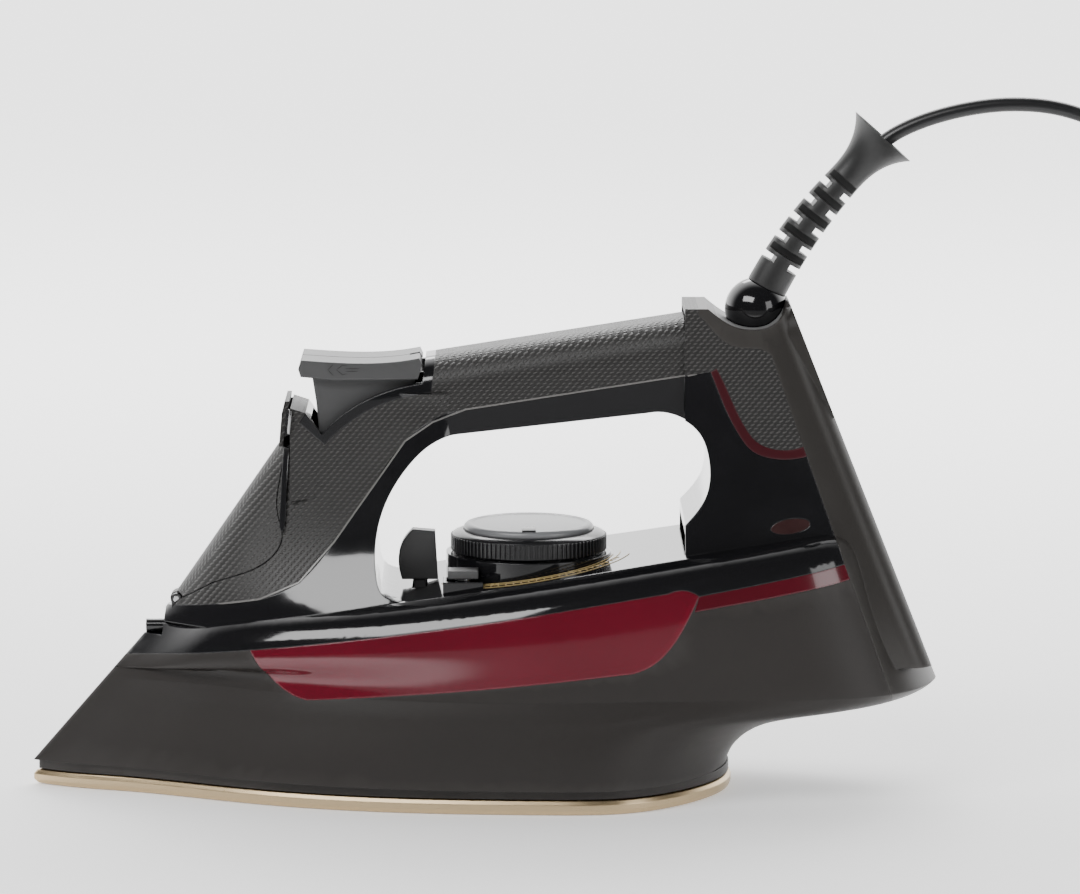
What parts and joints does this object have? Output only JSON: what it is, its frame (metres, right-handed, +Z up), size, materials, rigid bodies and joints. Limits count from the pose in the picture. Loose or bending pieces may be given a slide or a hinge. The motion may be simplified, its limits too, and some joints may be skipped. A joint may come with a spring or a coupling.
{
  "type": "clothes iron",
  "caption": "Steam iron with gloss body, crimson water tank, metallic soleplate, knurled temperature dial, twin rocking buttons, swivel cord boot and coiled mains cord.",
  "frame": {"origin": "on the flat face of the soleplate, at the middle of the length and width of the iron without its cord", "axes": "-X towards the nose, +X towards the heel and the cord, +Y to the left of a user who looks towards the nose, +Z up; the iron rests flat on its soleplate"},
  "size_m": [0.5137, 0.1361, 0.2303],
  "materials": {
    "sole_gold": "satin champagne-gold coated plate",
    "cast_aluminium": "die-cast, rough",
    "element_steel": "sheathed heating element",
    "bright_metal": "bright",
    "brass": "bright",
    "white_ceramic": "glazed",
    "gloss_black": "high-gloss black",
    "dark_matte": "fine matte, warm dark grey",
    "cover_grey": "satin dark grey",
    "grip_grey": "soft grip with small raised dashes",
    "button_grey": "satin grey",
    "dial_grey": "satin-gloss grey",
    "tank_red": "translucent crimson plastic, gloss",
    "rubber_black": "matte",
    "inner_plastic": "plain grey",
    "clear_hose": "translucent silicone",
    "board_green": "circuit board",
    "lead_brown": "insulated lead",
    "lead_white": "glass-fibre sleeved lead",
    "cord_black": "smooth black PVC",
    "lens_smoke": "smoked lens"
  },
  "bodies": {
    "iron": {"auto_off_board": "board_green", "base_ring": "dark_matte", "button_bezel": "gloss_black", "button_pin": "bright_metal", "chamber_lid": "cast_aluminium", "clean_bezel": "gloss_black", "clean_spring": "bright_metal", "coil_tie": "dark_matte", "cord_clamp": "inner_plastic", "cord_coil": "cord_black", "cord_socket": "inner_plastic", "cord_tube": "cord_black", "cover_screws": "bright_metal", "dial_base": "gloss_black", "door_hinge_pin": "bright_metal", "drip_tube": "rubber_black", "filler_neck": "dark_matte", "filler_seal": "rubber_black", "grip_trims": "tank_red", "handle_grip": "grip_grey", "heat_shield": "bright_metal", "heater_leads": "lead_white", "heating_element": "element_steel", "heating_plate": "cast_aluminium", "indicator_lens": "lens_smoke", "lower_skirt": "dark_matte", "mains_leads": "lead_brown", "plug_body": "cord_black", "plug_pins": "brass", "pump_cradle": "inner_plastic", "pump_cylinders": "inner_plastic", "rear_bulkhead": "inner_plastic", "rear_cover": "cover_grey", "side_strips": "tank_red", "soleplate": "sole_gold", "spray_hose": "clear_hose", "spray_nozzle": "gloss_black", "spray_spring": "bright_metal", "steam_hose": "clear_hose", "steam_spring": "bright_metal", "suction_tube": "clear_hose", "terminal_block": "white_ceramic", "thermal_fuse": "white_ceramic", "thermostat": "bright_metal", "upper_housing": "gloss_black", "valve_seat": "brass", "water_tank": "tank_red"},
    "door": {"fill_door": "gloss_black"},
    "spray_key": {"spray_button": "button_grey"},
    "steam_key": {"steam_button": "button_grey"},
    "spray_piston": {"spray_plunger": "inner_plastic"},
    "steam_piston": {"steam_plunger": "inner_plastic"},
    "dial": {"temperature_dial": "gloss_black", "dial_cap": "dial_grey", "dial_shaft": "inner_plastic"},
    "lever": {"steam_lever": "button_grey"},
    "needle": {"valve_needle": "bright_metal"},
    "clean_key": {"self_clean_key": "button_grey"},
    "swivel": {"cord_ball": "gloss_black", "cord_boot": "rubber_black"}
  },
  "joints": [
    {"name": "door_hinge", "type": "hinge", "parent": "iron", "child": "door", "pos_m": [-0.1026, 0, 0.0636], "axis": [0, -1, 0], "range_deg": [0, 60]},
    {"name": "spray_button_hinge", "type": "hinge", "parent": "iron", "child": "spray_key", "pos_m": [-0.0215, 0, 0.1416], "axis": [0, -1, 0], "range_deg": [0, 6], "stiffness_Nm_per_rad": 1.2, "springref_deg": -3.44},
    {"name": "steam_button_hinge", "type": "hinge", "parent": "iron", "child": "steam_key", "pos_m": [-0.0215, 0, 0.1416], "axis": [0, -1, 0], "range_deg": [0, 6], "stiffness_Nm_per_rad": 1.2, "springref_deg": -3.44},
    {"name": "spray_plunger_slide", "type": "slide", "parent": "iron", "child": "spray_piston", "axis": [0, 0, -1], "range_m": [0, 0.0028], "deforming": ["spray_spring"]},
    {"name": "steam_plunger_slide", "type": "slide", "parent": "iron", "child": "steam_piston", "axis": [0, 0, -1], "range_m": [0, 0.0028], "deforming": ["steam_spring"]},
    {"name": "dial_turn", "type": "hinge", "parent": "iron", "child": "dial", "pos_m": [0.0147, 0, 0], "axis": [0, 0, 1], "range_deg": [0, 270]},
    {"name": "steam_lever_slide", "type": "slide", "parent": "iron", "child": "lever", "axis": [0, 1, 0], "range_m": [-0.008, 0.008]},
    {"name": "valve_needle_slide", "type": "slide", "parent": "iron", "child": "needle", "axis": [0, 0, 1], "range_m": [-0.0008, 0.0008]},
    {"name": "self_clean_slide", "type": "slide", "parent": "iron", "child": "clean_key", "axis": [0, 0, -1], "range_m": [0, 0.0025], "stiffness_N_per_m": 400, "springref_m": -0.001, "deforming": ["clean_spring"]},
    {"name": "cord_swivel", "type": "hinge", "parent": "iron", "child": "swivel", "pos_m": [0.09, 0, 0.1602], "axis": [0, 1, 0], "range_deg": [-35, 5], "deforming": ["cord_tube"]}
  ],
  "couplings": [
    {"joint": "spray_plunger_slide", "follows": "spray_button_hinge", "m_per_rad": 0.0255},
    {"joint": "steam_plunger_slide", "follows": "steam_button_hinge", "m_per_rad": 0.0255},
    {"joint": "valve_needle_slide", "follows": "steam_lever_slide", "ratio": 0.09375}
  ]
}
